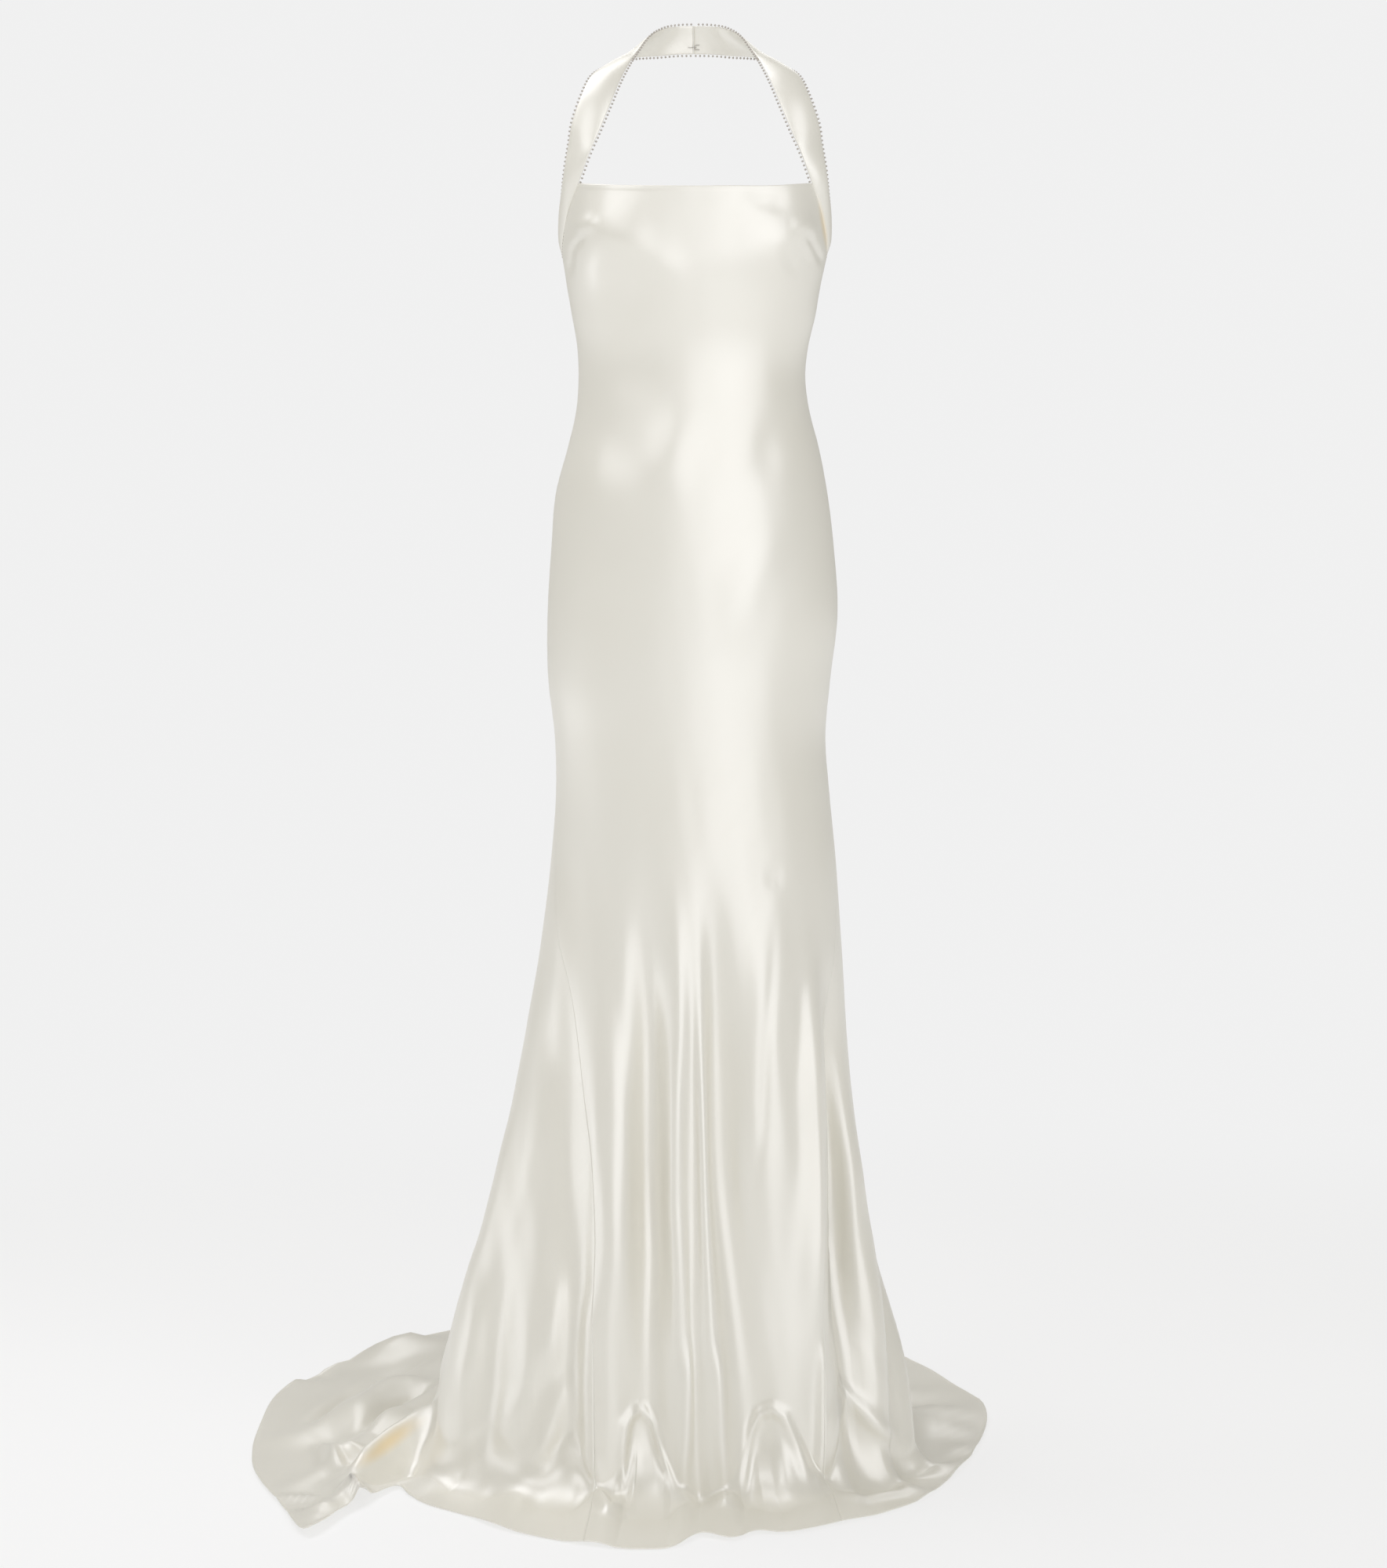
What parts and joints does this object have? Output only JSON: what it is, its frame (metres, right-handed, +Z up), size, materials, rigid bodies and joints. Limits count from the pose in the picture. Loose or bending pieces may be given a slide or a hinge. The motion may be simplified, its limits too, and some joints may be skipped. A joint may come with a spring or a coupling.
{
  "type": "wedding dress",
  "caption": "Floor-length bias-cut satin wedding dress with a straight neckline, a beaded halter band fastened behind the neck, and a short train.",
  "frame": {"origin": "the inner face of the halter band at the centre back of the neck, half way up the band, where the wearer's neck carries the dress", "axes": "+Z up, +Y towards the wearer's back and the train, +X towards the wearer's left side, which is the viewer's right in the picture"},
  "size_m": [0.8959, 1.2472, 1.69],
  "materials": {
    "satin": "ivory silk satin with a soft, broad sheen",
    "hook_steel": "dark plated wire"
  },
  "bodies": {
    "root": {"front_panel": "satin", "back_panel": "satin", "halter_band_left": "satin", "halter_band_right": "satin", "neck_hook": "hook_steel", "neck_eye": "hook_steel"}
  },
  "joints": []
}
